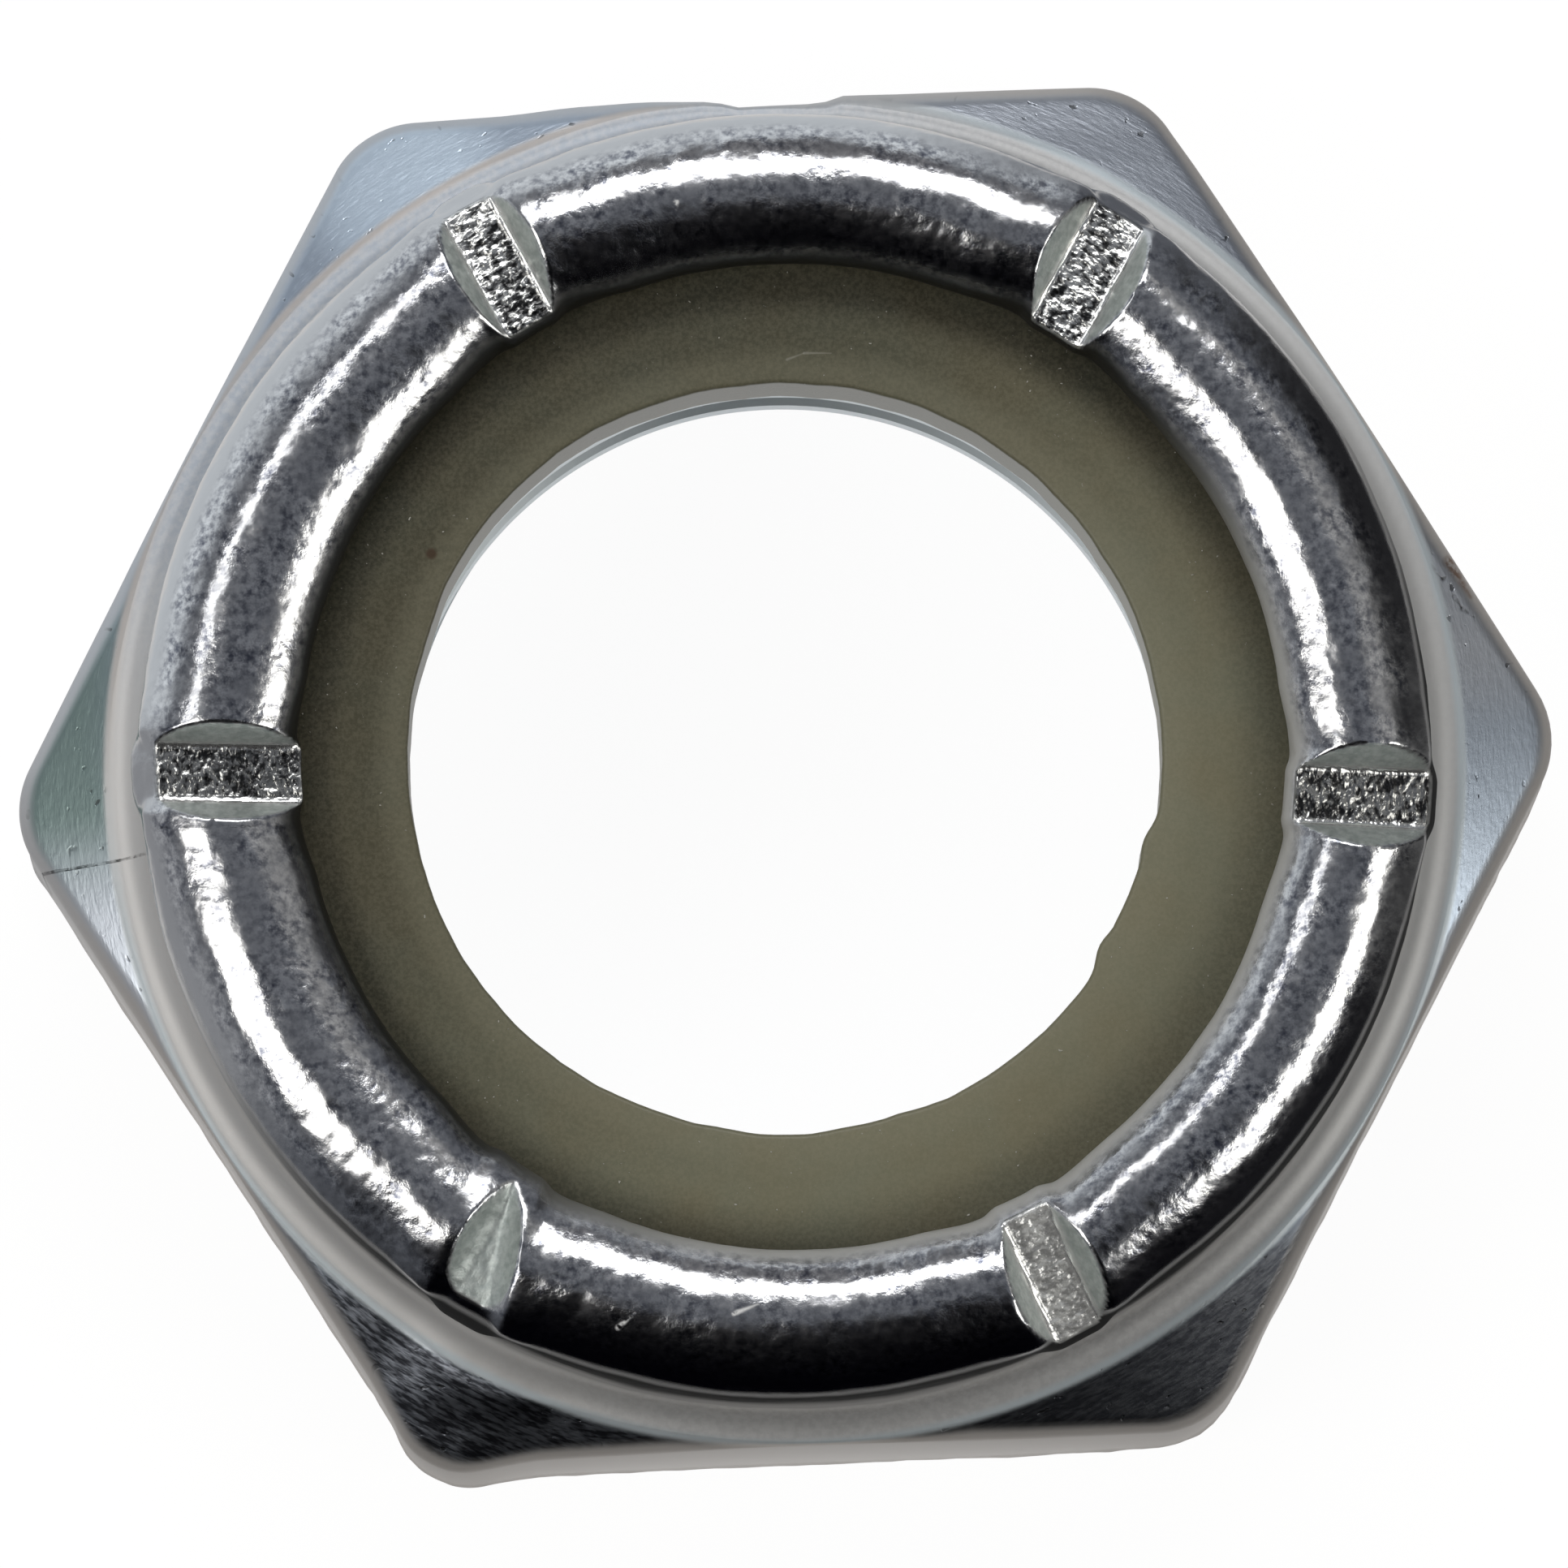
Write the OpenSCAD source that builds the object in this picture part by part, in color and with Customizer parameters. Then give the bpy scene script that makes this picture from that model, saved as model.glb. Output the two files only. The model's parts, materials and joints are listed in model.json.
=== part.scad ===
// Nylon insert lock nut, thin pattern, for a 1/2 in coarse thread.
// A cold-formed steel nut whose collar is rolled over a captive nylon ring.
// The origin is the centre of the bearing face, and +Z points to the crown.

/* [Hexagon] */
// Width across the flats
across_flats = 19.05; // [15.8:0.05:23]
// Height of the hexagon, from the bearing face to the collar's shoulder
hex_h = 6.4; // [5.3:0.1:8]
// Radius of the six upright corner edges
corner_r = 1.3; // [0.8:0.1:2.5]
// Slope of both turned chamfers, in degrees from level
chamfer_slope = 28; // [15:1:35]
// How far the bearing face's rim lies inside the flats
bearing_inset = 0.5; // [0.3:0.05:1]

/* [Thread] */
// Outer diameter of the thread
thread_d = 12.7; // [10.5:0.05:13.2]
// Height of the thread's ridges, measured along the radius
thread_depth = 0.9; // [0.5:0.05:1]
// Amount by which the countersink at the bearing face is wider than the thread, on the radius
countersink_margin = 0.25; // [0.1:0.05:0.4]
// Width of the small countersink under the nylon insert, on the radius
pocket_countersink = 0.5; // [0.2:0.05:0.6]
// Slope of both countersinks' walls, in degrees from the nut's axis
countersink_slope = 50; // [40:1:60]

/* [Collar] */
// Height of the collar and its crown above the shoulder
collar_h = 3.3; // [2.7:0.1:4.2]
// How far the shoulder's rim lies inside the flats
shoulder_inset = 0.05; // [0.02:0.01:0.2]
// Width of the shoulder, which is also the radius of the fillet at the collar's foot
shoulder_w = 0.47; // [0.3:0.01:0.7]
// Thickness of the collar's wall
collar_wall = 0.9; // [0.7:0.05:1]
// Outer radius of the rolled crown, in section
crown_r = 1.13; // [1.05:0.01:1.4]
// Angle through which the wall is rolled over, in degrees
crown_roll = 141; // [100:1:150]

/* [Nylon insert] */
// Depth of the insert's pocket below the shoulder
pocket_sink = 0.3; // [0.1:0.05:0.8]
// Amount by which the insert's hole is narrower than the bore, on the radius
insert_bite = 0.19; // [0.1:0.01:0.4]
// Gap between the insert and the steel around and above it
insert_gap = 0.05; // [0.02:0.01:0.15]
// Radius of the insert's four edges, in section
insert_edge_r = 0.25; // [0.1:0.05:0.5]

/* [Pressed marks] */
// Number of marks, one for each corner
mark_count = 6; // [0:1:6]
// Width of a mark's flat floor
mark_w = 0.7; // [0.4:0.02:1]
// Greatest depth of a mark's floor below the crown
mark_depth = 0.5; // [0.1:0.02:0.6]
// Direction in which the punch leans, in degrees above level
mark_lean = 62; // [45:1:75]
// Slope of a mark's side walls, in degrees from the punch's direction
mark_draft = 30; // [5:1:40]
// Angle from each corner of the hexagon to its mark, in degrees
mark_turn = -3.8; // [-15:0.1:15]

/* [Hidden] */
$fn = 128;

// Length by which a cutter runs past the surface that it opens
overrun = 1;
// Number of straight steps around one rounded corner of the hexagon
corner_steps = 8;

flat_r = across_flats / 2;
corner_reach = (flat_r - corner_r) / cos(30) + corner_r;
bearing_r = flat_r - bearing_inset;
shoulder_r = flat_r - shoulder_inset;

bore_r = thread_d / 2 - thread_depth;
countersink_r = thread_d / 2 + countersink_margin;
countersink_h = (countersink_r - bore_r) / tan(countersink_slope);
pocket_countersink_h = pocket_countersink / tan(countersink_slope);

nut_h = hex_h + collar_h;
collar_r = shoulder_r - shoulder_w;
pocket_r = collar_r - collar_wall;
pocket_z = hex_h - pocket_sink;
crown_x = collar_r - crown_r;
crown_z = nut_h - crown_r;
lip_r = collar_wall / 2;
lip_reach = crown_r - lip_r;
lip_z = crown_z + lip_reach * sin(crown_roll);

insert_r = bore_r - insert_bite;
ring_r = pocket_r - insert_gap;
ring_h = lip_z - lip_r - insert_gap - pocket_z;

// One upright corner of the hexagon, as an arc of points about its own centre
function corner_arc(turn) = [
    for (step = [0 : corner_steps])
        let (a = turn - 30 + 60 * step / corner_steps)
            (flat_r - corner_r) / cos(30) * [cos(turn), sin(turn)] + corner_r * [cos(a), sin(a)]
];

// The hexagon seen from above, with its corners on the X axis
module hexagon_outline() {
    polygon([for (corner = [0 : 5]) each corner_arc(60 * corner)]);
}

// Half section of the turned blank, which chamfers both ends of the hexagon
module blank_section() {
    polygon([
        [0, 0],
        [bearing_r, 0],
        [corner_reach, (corner_reach - bearing_r) * tan(chamfer_slope)],
        [corner_reach, hex_h - (corner_reach - shoulder_r) * tan(chamfer_slope)],
        [shoulder_r, hex_h],
        [0, hex_h]
    ]);
}

// Half section of the fillet between the shoulder and the collar
module foot_section() {
    difference() {
        translate([collar_r - lip_r, pocket_z])
            square([shoulder_w + lip_r, shoulder_w + pocket_sink]);
        translate([collar_r + shoulder_w, hex_h + shoulder_w])
            circle(r = shoulder_w);
    }
}

// Half section of the collar: upright wall, rolled crown and rounded lip
module collar_section() {
    reach = 3 * crown_r;
    translate([pocket_r, pocket_z])
        square([collar_wall, crown_z - pocket_z]);
    translate([crown_x, crown_z])
        intersection() {
            difference() {
                circle(r = crown_r);
                circle(r = crown_r - collar_wall);
            }
            polygon([[0, 0], for (part = [0 : 3]) let (a = crown_roll * part / 3) reach * [cos(a), sin(a)]]);
        }
    translate([crown_x + lip_reach * cos(crown_roll), lip_z])
        circle(r = lip_r);
}

// Half section of what is cut away inside: countersink, bore, countersink and pocket
module bore_section() {
    polygon([
        [0, -overrun],
        [countersink_r, -overrun],
        [countersink_r, 0],
        [bore_r, countersink_h],
        [bore_r, pocket_z - pocket_countersink_h],
        [bore_r + pocket_countersink, pocket_z],
        [pocket_r, pocket_z],
        [pocket_r, hex_h + overrun],
        [0, hex_h + overrun]
    ]);
}

// One punch mark's cutter, on the +X side: a flat floor between two sloping walls
module mark_punch() {
    reach = 2 * crown_r;
    flare = reach * tan(mark_draft);
    translate([crown_x, 0, crown_z])
        rotate([0, -mark_lean, 0])
            translate([crown_r - mark_depth, 0, -reach])
                linear_extrude(height = 2 * reach)
                    polygon([
                        [0, -mark_w / 2],
                        [reach, -mark_w / 2 - flare],
                        [reach, mark_w / 2 + flare],
                        [0, mark_w / 2]
                    ]);
}

// The steel nut, formed from one piece
module nut_body() {
    color("#a9abad")
        difference() {
            union() {
                intersection() {
                    linear_extrude(height = hex_h)
                        hexagon_outline();
                    rotate_extrude()
                        blank_section();
                }
                rotate_extrude() {
                    foot_section();
                    collar_section();
                }
            }
            rotate_extrude()
                bore_section();
            for (mark = [0 : 1 : mark_count - 1])
                rotate([0, 0, 360 / mark_count * mark + mark_turn])
                    mark_punch();
        }
}

// What is cut from the corner of a section at [x, z] to round it, towards +X +Z or flipped
module edge_rounding(x, z, flip_x, flip_z) {
    translate([x, z])
        mirror([flip_x, 0])
            mirror([0, flip_z])
                difference() {
                    translate([-overrun, -overrun])
                        square(insert_edge_r + overrun);
                    translate([insert_edge_r, insert_edge_r])
                        circle(r = insert_edge_r);
                }
}

// The nylon ring, which stands on the pocket's floor under the lip
module nylon_insert() {
    color("#8b8c7c")
        translate([0, 0, pocket_z])
            rotate_extrude()
                difference() {
                    translate([insert_r, 0])
                        square([ring_r - insert_r, ring_h]);
                    edge_rounding(insert_r, 0, 0, 0);
                    edge_rounding(insert_r, ring_h, 0, 1);
                    edge_rounding(ring_r, 0, 1, 0);
                    edge_rounding(ring_r, ring_h, 1, 1);
                }
}

nut_body();
nylon_insert();
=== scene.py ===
# %% [markdown]
# This notebook dresses a nylon insert lock nut: a cold-formed steel nut, bright with zinc, whose
# collar is rolled over a ring of nylon. A packed CAD model gives the frame, in metres, with +Z along
# the nut's axis and two corners of the hexagon on the X axis. Every piece made here is set out from
# that model, so nothing has to be fitted afterwards.

# %% Load the frame
import json
import math

import bpy
import numpy as np
from mathutils import Matrix, Vector, noise


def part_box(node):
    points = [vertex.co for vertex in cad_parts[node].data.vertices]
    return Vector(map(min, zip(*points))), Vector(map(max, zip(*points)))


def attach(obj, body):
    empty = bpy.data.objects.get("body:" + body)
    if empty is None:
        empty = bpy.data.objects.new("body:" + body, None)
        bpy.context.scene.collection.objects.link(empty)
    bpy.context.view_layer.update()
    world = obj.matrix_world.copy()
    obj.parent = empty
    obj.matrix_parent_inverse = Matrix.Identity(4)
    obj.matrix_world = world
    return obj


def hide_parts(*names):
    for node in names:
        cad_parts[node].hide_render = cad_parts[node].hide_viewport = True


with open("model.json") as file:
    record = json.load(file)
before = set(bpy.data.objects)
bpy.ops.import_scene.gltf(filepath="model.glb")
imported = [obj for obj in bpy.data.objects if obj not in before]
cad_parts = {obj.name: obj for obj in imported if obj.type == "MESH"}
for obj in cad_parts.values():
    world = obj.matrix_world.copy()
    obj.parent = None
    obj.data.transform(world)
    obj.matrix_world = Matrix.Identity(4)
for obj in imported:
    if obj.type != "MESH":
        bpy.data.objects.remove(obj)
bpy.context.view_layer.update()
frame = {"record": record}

# %% [markdown]
# Sizes are kept in millimetres, as a drawing has them, and turned into metres only where a mesh is
# written. The overall ones are read from the frame. The rest are the nut's own drawing: the height
# of the hexagon, the slope of the turned chamfers and the section of the rolled collar.

# %% Read the nut's sizes
MM = 0.001
body_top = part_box("nut_body")[1] / MM
ring_bottom, ring_top = (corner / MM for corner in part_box("nylon_insert"))
hole_r = {mount["name"]: mount["dims"].get("r_mm") for mount in frame["record"]["mounts"]}

nut_h = body_top.z
flat_r = body_top.y
corner_reach = body_top.x
bore_r = hole_r["thread"]
pocket_z = ring_bottom.z

hex_h = 6.4
corner_r = 1.3
low_edge_r = 0.32
high_edge_r = 0.45
rim_edge_r = 0.08
bearing_edge_r = 0.4
pocket_edge_r = 0.15
burr_h = 1.1
chamfer_slope = 28
bearing_r = flat_r - 0.5
shoulder_r = flat_r - 0.05
foot_r = 0.47
collar_r = shoulder_r - foot_r
collar_wall = 0.9
pocket_r = collar_r - collar_wall
crown_r = 1.13
crown_roll = 141
crown_x = collar_r - crown_r
crown_z = nut_h - crown_r
lip_r = collar_wall / 2
countersink_r = 6.6
countersink_slope = 50
pocket_countersink = 0.5
print(f"hexagon {2 * flat_r:.2f} mm across the flats, nut {nut_h:.2f} mm high, bore {2 * bore_r:.2f} mm")

# %% [markdown]
# The camera comes before the modelling, so that each piece can be judged in the picture at once.
# The photograph looks down the axis from about a third of a metre, leaning a few degrees towards the
# lower edge of the picture, and the nut lies turned by three degrees. A long lens at a true distance
# keeps the perspective: the crown is a little larger than the bearing face, and the far wall of the
# bore shows its thread.

# %% Place the camera
photo_px = 1932
px_per_mm = 87.8
axis_px = (967.0, 946.5)
camera_mm = 330
film_mm = 36
camera_lean = math.radians(4.1)
picture_turn = math.radians(3.0)

picture_right = Vector((math.cos(picture_turn), -math.sin(picture_turn), 0))
picture_up = Vector((math.sin(picture_turn), math.cos(picture_turn), 0))
back = Vector((0, 0, 1)) * math.cos(camera_lean) - picture_up * math.sin(camera_lean)
lens_up = back.cross(picture_right)

off_axis_mm = [(photo_px / 2 - px) / px_per_mm for px in axis_px]
aim = Vector((0, 0, hex_h)) + picture_right * off_axis_mm[0] - lens_up * off_axis_mm[1]

camera = bpy.data.objects.new("camera", bpy.data.cameras.new("camera"))
bpy.context.scene.collection.objects.link(camera)
bpy.context.scene.camera = camera
camera.location = (aim + back * camera_mm) * MM
camera.rotation_mode = "QUATERNION"
camera.rotation_quaternion = Matrix((picture_right, lens_up, back)).transposed().to_quaternion()
camera.data.sensor_width = film_mm
camera.data.lens = film_mm * camera_mm * px_per_mm / photo_px
camera.data.clip_start = 0.01
camera.data.clip_end = 10
print(f"camera sees {photo_px / px_per_mm:.1f} mm through a lens of {camera.data.lens:.0f} mm")

# %% [markdown]
# Materials are networks of nodes, and long ones are hard to read when each link is a line of its own.
# A small class wraps a socket so that Python's own signs add the Math nodes: 1 - mask, or a * b + c.
# One method makes every other node from its type, its settings and what goes into its sockets.

# %% Write shader maths as Python
class Wire:
    """One output socket, used in expressions on numbers."""

    def __init__(self, finish, socket):
        self.finish = finish
        self.socket = socket

    def maths(self, operation, *values):
        return self.finish.node("ShaderNodeMath", {"operation": operation}, *values)

    def __add__(self, other):
        return self.maths("ADD", self, other)

    def __sub__(self, other):
        return self.maths("SUBTRACT", self, other)

    def __rsub__(self, other):
        return self.maths("SUBTRACT", other, self)

    def __mul__(self, other):
        return self.maths("MULTIPLY", self, other)

    def __truediv__(self, other):
        return self.maths("DIVIDE", self, other)

    def __pow__(self, other):
        return self.maths("POWER", self, other)

    __radd__ = __add__
    __rmul__ = __mul__


class Finish:
    """A material or a world under construction."""

    def __init__(self, tree):
        self.tree = tree
        tree.nodes.clear()

    def node(self, kind, settings, *inputs, out=0, **named):
        """Adds a node, sets it up, and feeds its sockets by order or by name."""
        made = self.tree.nodes.new(kind)
        for name, value in settings.items():
            setattr(made, name, value)
        wanted = list(enumerate(inputs)) + [(name.replace("_", " "), value) for name, value in named.items()]
        for key, value in wanted:
            if isinstance(value, Wire):
                self.tree.links.new(value.socket, made.inputs[key])
            else:
                made.inputs[key].default_value = value
        return Wire(self, made.outputs[out]) if made.outputs else None

    def step(self, value, start, end):
        """Rises smoothly from 0 at start to 1 at end."""
        settings = {"interpolation_type": "SMOOTHSTEP"}
        return self.node("ShaderNodeMapRange", settings, value, start, end, 0.0, 1.0)

    def grain(self, place, size, detail=2.0, roughness=0.5):
        """Noise from 0 to 1 with blobs of a size in mm."""
        settings = {"Scale": 1 / size, "Detail": detail, "Roughness": roughness}
        return self.node("ShaderNodeTexNoise", {}, Vector=place, **settings)

    def blend(self, mask, first, second):
        """Mixes two colours: the first where the mask is 0, the second where it is 1."""
        made = self.node("ShaderNodeMix", {"data_type": "RGBA"}, mask, out=2)
        for name, value in (("A", first), ("B", second)):
            socket = next(s for s in made.socket.node.inputs if s.name == name and s.type == "RGBA")
            if isinstance(value, Wire):
                self.tree.links.new(value.socket, socket)
            else:
                socket.default_value = (*value, 1)
        return made

    def layers(self, base, coats):
        """Lays colours over a base one after another, each where its mask is 1."""
        for mask, colour in coats:
            base = self.blend(mask, base, colour)
        return base


print("shader helpers:", [name for name in vars(Finish) if not name.startswith("_")])

# %% [markdown]
# A product photograph is made on a pale table inside a tent of cloth. Bright metal has hardly any
# colour of its own: it shows the tent, the lamps and the dark card through which the lens looks. So
# the tent is part of the picture. Here the table is a plain pale floor that keeps the nut's shadow,
# and the world is white where the lens, a mirror or a clear part sees it.

# %% Lay the table and the white world
def sees_background(finish):
    """1 for rays from the lens, from glossy surfaces and through clear ones."""
    path = finish.node("ShaderNodeLightPath", {}).socket.node.outputs
    seen = [Wire(finish, path[name]) for name in ("Is Camera Ray", "Is Glossy Ray", "Is Transmission Ray")]
    return finish.step(seen[0] + seen[1] + seen[2], 0.0, 1.0)


scene = bpy.context.scene
scene.view_settings.view_transform = "Standard"
scene.world = bpy.data.worlds.new("tent_world")
scene.world.use_nodes = True
scene.world.cycles.sampling_method = "NONE"
sky = Finish(scene.world.node_tree)
sky_fill = 0.14
white = sky.node("ShaderNodeBackground", {}, (1, 1, 1, 1), sky_fill + (1 - sky_fill) * sees_background(sky))
sky.node("ShaderNodeOutputWorld", {}, white)

bpy.ops.object.select_all(action="DESELECT")
bpy.ops.mesh.primitive_plane_add(size=4)
table = bpy.context.object
table.name = "table"
table_finish = bpy.data.materials.new("pale_table")
table_finish.use_nodes = True
card = Finish(table_finish.node_tree)
paper = card.node("ShaderNodeBsdfDiffuse", {}, (0.86, 0.86, 0.86, 1))
glow_strength = 1.05
glow_share = 0.9
glow = card.node("ShaderNodeEmission", {}, (1, 1, 1, 1), glow_strength)
top_sheet = card.node("ShaderNodeMixShader", {}, sees_background(card) * glow_share, paper, glow)
card.node("ShaderNodeOutputMaterial", {}, top_sheet)
table.data.materials.append(table_finish)
print("table:", tuple(table.dimensions), "world fill:", sky_fill)

# %% [markdown]
# Directions in the tent are given as the picture shows them: an azimuth, counted anticlockwise from
# the right of the picture, and an angle down from straight up. Each lamp is a soft box that faces the
# nut. Its brightness is set as the radiance of its cloth, so that a larger lamp isn't a dimmer one.

# %% Hang the lamps
def tent_direction(azimuth, fall):
    """A direction from the nut, as the picture shows it, in degrees."""
    azimuth, fall = math.radians(azimuth), math.radians(fall)
    level = picture_right * math.cos(azimuth) + picture_up * math.sin(azimuth)
    return level * math.sin(fall) + Vector((0, 0, 1)) * math.cos(fall)


def hang_lamp(name, azimuth, fall, width, height, radiance, colour=(1, 1, 1), distance=0.5):
    """A soft box, with its width and height in degrees as the nut sees them."""
    lamp = bpy.data.objects.new(name, bpy.data.lights.new(name, "AREA"))
    scene.collection.objects.link(lamp)
    lamp.data.shape = "RECTANGLE"
    lamp.data.size = 2 * distance * math.tan(math.radians(width / 2))
    lamp.data.size_y = 2 * distance * math.tan(math.radians(height / 2))
    lamp.data.energy = radiance * math.pi * lamp.data.size * lamp.data.size_y
    lamp.data.color = colour
    away = tent_direction(azimuth, fall)
    lamp.location = away * distance
    lamp.rotation_mode = "QUATERNION"
    lamp.rotation_quaternion = away.to_track_quat("Z", "Y")
    print(f"{name}: {lamp.data.size / MM:.0f} by {lamp.data.size_y / MM:.0f} mm, {lamp.data.energy:.2f} W")


hang_lamp("lamp_far", 87, 40, 37, 21, 4.6)
hang_lamp("lamp_far_left", 141, 36, 36, 13, 1.9)
hang_lamp("lamp_near_left", 202, 38, 23, 39, 3.0, (1, 0.98, 0.94))
hang_lamp("lamp_near_right", 336, 54, 32, 23, 3.0, (1, 0.98, 0.93))

# %% [markdown]
# The cloth of the tent is grey, black in front, where the lens looks in, and pale low down behind and
# on the left. Its hem lies on the table and ends just short of the nut, where the cloth is pale too.
# Each patch has an azimuth, a fall, and the angles between which it fades. The tent shows only in
# reflections and throws no shadow, so it shapes the shine on the metal, not the light on the nut.

# %% Hang the tent
bpy.ops.object.select_all(action="DESELECT")
tent_r = 0.9
bpy.ops.mesh.primitive_uv_sphere_add(segments=64, ring_count=32, radius=tent_r)
tent = bpy.context.object
tent.name = "tent"
hem_z = 0.2 * MM
hem_r = 10.9 * MM
bpy.ops.object.mode_set(mode="EDIT")
bpy.ops.mesh.bisect(plane_co=(0, 0, hem_z), plane_no=(0, 0, 1), clear_inner=True)
bpy.ops.mesh.select_all(action="DESELECT")
bpy.ops.mesh.select_non_manifold()
bpy.ops.mesh.extrude_edges_move()
bpy.ops.transform.resize(value=(hem_r / tent_r, hem_r / tent_r, 1), center_override=(0, 0, hem_z))
bpy.ops.object.mode_set(mode="OBJECT")

tent_finish = bpy.data.materials.new("tent_cloth")
tent_finish.use_nodes = True
cloth = Finish(tent_finish.node_tree)
spot = cloth.node("ShaderNodeTexCoord", {}, out=3)
toward = cloth.node("ShaderNodeVectorMath", {"operation": "NORMALIZE"}, spot)


def patch(azimuth, fall, inner, outer):
    """1 within an angle of a direction in the tent, falling to 0 at a wider one."""
    middle = tent_direction(azimuth, fall)
    middle = cloth.node("ShaderNodeVectorMath", {"operation": "DOT_PRODUCT"}, toward, middle, out=1)
    return cloth.step(middle, math.cos(math.radians(outer)), math.cos(math.radians(inner)))


lifted = cloth.node("ShaderNodeSeparateXYZ", {}, toward, out=2)
low_left = patch(125, 90, 40, 64) * (1 - cloth.step(lifted, 0.03, 0.62))
shade = cloth.layers((0.125, 0.133, 0.152), [
    (low_left, (0.66, 0.70, 0.74)),
    (patch(88, 66, 8, 20), (0.13, 0.13, 0.14)),
    (patch(193, 93, 8, 24), (0.33, 0.34, 0.36)),
    (patch(42, 42, 3, 14), (0.32, 0.32, 0.32)),
    (patch(8, 55, 8, 26), (0.30, 0.30, 0.30)),
    (patch(5, 96, 22, 48), (0.11, 0.11, 0.11)),
    (patch(28, 88, 6, 26), (0.02, 0.02, 0.022)),
    (patch(320, 95, 16, 36), (0.01, 0.01, 0.012)),
    (patch(268, 76, 32, 54), (0.0, 0.0, 0.001)),
    (patch(268, 34, 10, 34), (0.0, 0.0, 0.001)),
])
off_nut = cloth.node("ShaderNodeVectorMath", {"operation": "LENGTH"}, spot, out=1)
shade = cloth.blend(cloth.step(off_nut, 12.5 * MM, 17 * MM), (0.72, 0.71, 0.70), shade)
cloth.node("ShaderNodeOutputMaterial", {}, cloth.node("ShaderNodeEmission", {}, shade, 1.0))
tent.data.materials.append(tent_finish)
for ray in ("camera", "diffuse", "transmission", "volume_scatter", "shadow"):
    setattr(tent, f"visible_{ray}", False)
print("tent radius:", tent.dimensions.x / 2)

# %% [markdown]
# The nut's half section is drawn as one chain of points, from the bearing face up the side, over the
# crown and down the bore. Straight runs and arcs are small functions. Where two runs meet at an edge,
# a short arc rounds it, because no edge of a forged and plated nut is sharp.

# %% Write the runs of a section
def straight(start, end, count):
    """Points that divide a straight run, without its ends."""
    share = np.arange(1, count + 1)[:, None] / (count + 1)
    return np.array(start) * (1 - share) + np.array(end) * share


def arc(centre, radius, start, end, count):
    """Points along an arc, with its ends, in degrees."""
    angle = np.radians(np.linspace(start, end, count))
    return np.array(centre) + radius * np.column_stack((np.cos(angle), np.sin(angle)))


def rounded(before, corner, after, radius, count):
    """The arc that rounds a corner between two straight runs."""
    before, corner, after = (np.array(point, float) for point in (before, corner, after))
    inward = (before - corner) / np.linalg.norm(before - corner)
    onward = (after - corner) / np.linalg.norm(after - corner)
    half = math.acos(np.clip(inward @ onward, -1, 1)) / 2
    middle = (inward + onward) / np.linalg.norm(inward + onward)
    centre = corner + middle * radius / math.sin(half)
    share = np.linspace(-1, 1, count)[:, None] * (math.pi / 2 - half)
    across = (onward - inward) / np.linalg.norm(onward - inward)
    return centre - radius * (middle * np.cos(share) - across * np.sin(share))


print("a rounded corner:", rounded((0, 1), (0, 0), (1, 0), 0.2, 3).round(3).tolist())

# %% [markdown]
# A turned blank would have one section all round, but a hexagon reaches further at its corners than
# at its flats. The section is therefore a function of how far the side lies from the axis. The
# chamfers run out from a fixed circle at a fixed slope, so they are wide at a corner and almost
# vanish at the middle of a flat, which gives the curved edge that every hexagon nut has.

# %% Write the nut's section
def section(reach):
    """Named runs of points (r, z) in mm, for a side that lies at this reach."""
    drop = (reach - shoulder_r) * math.tan(math.radians(chamfer_slope))
    rise = (reach - bearing_r) * math.tan(math.radians(chamfer_slope))
    chamfer = math.hypot(reach - shoulder_r, drop)
    sink_h = (countersink_r - bore_r) / math.tan(math.radians(countersink_slope))
    pocket_sink_h = pocket_countersink / math.tan(math.radians(countersink_slope))

    rim, bearing, low, high = (countersink_r, 0), (bearing_r, 0), (reach, rise), (reach, hex_h - drop)
    shoulder, foot_top = (shoulder_r, hex_h), (collar_r, hex_h + foot_r)
    bore_low, bore_high = (bore_r, sink_h), (bore_r, pocket_z - pocket_sink_h)
    pocket_rim = (bore_r + pocket_countersink, pocket_z)
    lip_centre = (crown_x + (crown_r - lip_r) * math.cos(math.radians(crown_roll)),
                  crown_z + (crown_r - lip_r) * math.sin(math.radians(crown_roll)))

    rim_edge = rounded(bore_low, rim, bearing, rim_edge_r, 3)
    bearing_edge = rounded(rim, bearing, low, bearing_edge_r, 4)
    low_edge = rounded(bearing, low, high, low_edge_r, 6)
    high_edge = rounded(low, high, shoulder, min(high_edge_r, 1.4 * chamfer), 8)
    pocket_edge = rounded((pocket_r, crown_z), (pocket_r, pocket_z), pocket_rim, pocket_edge_r, 3)
    burr_top = (reach, rise + burr_h)
    return {
        "rim": rim_edge,
        "bearing": straight(rim_edge[-1], bearing_edge[0], 5),
        "bearing_edge": bearing_edge,
        "low_chamfer": straight(bearing_edge[-1], low_edge[0], 5),
        "low_edge": low_edge,
        "side": np.vstack((straight(low_edge[-1], burr_top, 9), straight(burr_top, high_edge[0], 7))),
        "high_edge": high_edge,
        "high_chamfer": straight(high_edge[-1], shoulder, 10),
        "foot": arc((shoulder_r, hex_h + foot_r), foot_r, 270, 180, 12),
        "wall": straight(foot_top, (collar_r, crown_z), 8),
        "crown": arc((crown_x, crown_z), crown_r, 0, crown_roll, 44),
        "lip": arc(lip_centre, lip_r, crown_roll, crown_roll + 180, 14)[1:],
        "under": arc((crown_x, crown_z), crown_r - collar_wall, crown_roll, 0, 6)[1:],
        "pocket": straight((pocket_r, crown_z), pocket_edge[0], 3),
        "pocket_edge": pocket_edge,
        "floor": straight(pocket_edge[-1], pocket_rim, 2),
        "bore": np.array([pocket_rim, bore_high, *straight(bore_high, bore_low, 3), bore_low]),
    }


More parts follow.
